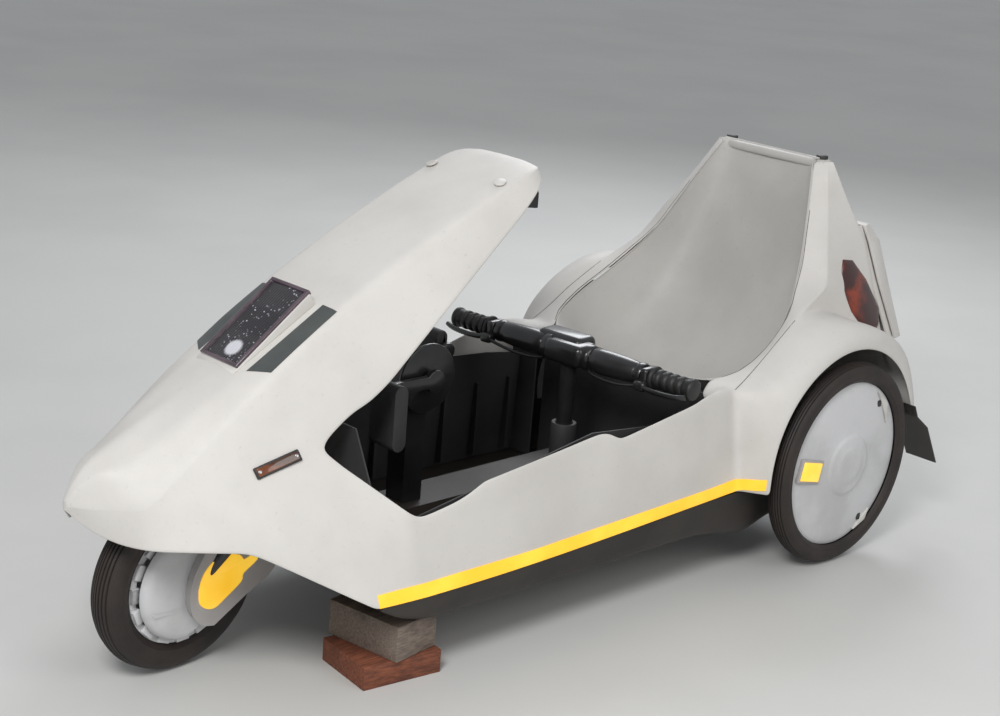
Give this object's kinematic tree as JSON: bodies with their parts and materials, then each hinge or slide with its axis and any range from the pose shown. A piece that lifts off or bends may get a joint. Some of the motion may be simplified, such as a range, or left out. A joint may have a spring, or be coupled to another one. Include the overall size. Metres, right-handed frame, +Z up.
{
  "type": "three wheeled car",
  "caption": "Low open single-seat electric and pedal tricycle car with a moulded shell, a canopy blade over the legs, a bucket seat and a steered front wheel, parked on a block.",
  "frame": {"origin": "on the floor, under the middle of the overall box", "axes": "+X forward to the nose, +Y to the driver's left, +Z up"},
  "size_m": [1.816, 0.744, 0.795],
  "materials": {
    "shell": "moulded off-white plastic",
    "charcoal_plastic": "moulded charcoal plastic",
    "black_metal": "black paint",
    "bright_steel": "plain steel",
    "black_rubber": "black rubber",
    "tyre": "brown-black rubber",
    "pale_plastic": "pale grey moulded plastic",
    "yellow_reflector": "yellow reflective sheet",
    "amber_lens": "amber lens",
    "red_lens": "red and amber lens",
    "lamp_frame": "dark frame",
    "clear_lens": "clear fluted lens",
    "drive_metal": "cast case",
    "battery_case": "battery case",
    "timber": "sawn timber blocks"
  },
  "bodies": {
    "root": {"nose_shell": "shell", "canopy_blade": "shell", "tail_cowl": "shell", "seat_bucket": "shell", "seat_bands": "shell", "seat_cap": "shell", "seat_plugs": "charcoal_plastic", "lower_tray": "charcoal_plastic", "floor_tunnel": "charcoal_plastic", "foot_bulkhead": "charcoal_plastic", "seat_riser": "charcoal_plastic", "lamp_housing": "lamp_frame", "lamp_lens": "clear_lens", "indicator_pod": "charcoal_plastic", "lid_hinges": "black_metal", "side_markers": "amber_lens", "rear_lamps": "red_lens", "prop_lower": "timber", "prop_upper": "timber", "chassis": "black_metal", "rear_axle": "bright_steel", "drive_unit": "drive_metal", "battery": "battery_case", "crank_post": "black_metal", "bar_socket": "black_metal", "seam_strips": "yellow_reflector", "sill_left": "shell", "sill_right": "shell", "wheel_arch_left": "shell", "wheel_arch_right": "shell", "side_liner_left": "charcoal_plastic", "side_liner_right": "charcoal_plastic", "mudflaps": "charcoal_plastic"},
    "front_fork": {"steering_fork": "black_metal", "fork_cover_left": "pale_plastic", "fork_cover_right": "pale_plastic", "cover_reflectors": "yellow_reflector"},
    "front_wheel": {"front_rim": "pale_plastic", "front_tyre": "tyre"},
    "handlebar_set": {"handlebar": "black_metal", "grips": "black_rubber", "brake_levers": "black_metal"},
    "crank_set": {"crank": "black_metal"},
    "left_pedal": {"pedal_left": "black_rubber"},
    "right_pedal": {"pedal_right": "black_rubber"},
    "rear_lid": {"boot_lid": "shell"},
    "left_rear_wheel": {"rear_wheel_left": "pale_plastic", "rear_tyre_left": "tyre", "wheel_reflector_left": "yellow_reflector"},
    "right_rear_wheel": {"rear_wheel_right": "pale_plastic", "rear_tyre_right": "tyre", "wheel_reflector_right": "yellow_reflector"}
  },
  "joints": [
    {"name": "steering", "type": "hinge", "parent": "root", "child": "front_fork", "pos_m": [0.68581, 0, 0.1482], "axis": [-0.5, 0, 0.866], "range_deg": [-25.4, 14.6]},
    {"name": "handlebar_turn", "type": "hinge", "parent": "root", "child": "handlebar_set", "pos_m": [-0.176, 0, 0.404], "axis": [0, 0, 1], "range_deg": [-25.4, 14.6]},
    {"name": "front_wheel_spin", "type": "hinge", "parent": "front_fork", "child": "front_wheel", "pos_m": [0.70392, 0.00198, 0.15865], "axis": [-0.0815, 0.9956, -0.0471], "continuous": true},
    {"name": "left_wheel_spin", "type": "hinge", "parent": "root", "child": "left_rear_wheel", "pos_m": [-0.6, 0.343, 0.203], "axis": [0, 1, 0], "continuous": true},
    {"name": "right_wheel_spin", "type": "hinge", "parent": "root", "child": "right_rear_wheel", "pos_m": [-0.6, -0.343, 0.203], "axis": [0, 1, 0], "continuous": true},
    {"name": "crank_turn", "type": "hinge", "parent": "root", "child": "crank_set", "pos_m": [0.225, 0, 0.425], "axis": [0, 1, 0], "continuous": true},
    {"name": "left_pedal_turn", "type": "hinge", "parent": "crank_set", "child": "left_pedal", "pos_m": [0.365, 0.1, 0.425], "axis": [0, 1, 0], "continuous": true},
    {"name": "right_pedal_turn", "type": "hinge", "parent": "crank_set", "child": "right_pedal", "pos_m": [0.085, -0.1, 0.425], "axis": [0, 1, 0], "continuous": true},
    {"name": "lid_open", "type": "hinge", "parent": "root", "child": "rear_lid", "pos_m": [-0.79, 0, 0.638], "axis": [0, 1, 0], "range_deg": [0, 75]}
  ],
  "couplings": [
    {"joint": "handlebar_turn", "follows": "steering", "ratio": 1},
    {"joint": "left_pedal_turn", "follows": "crank_turn", "ratio": -1},
    {"joint": "right_pedal_turn", "follows": "crank_turn", "ratio": -1}
  ]
}
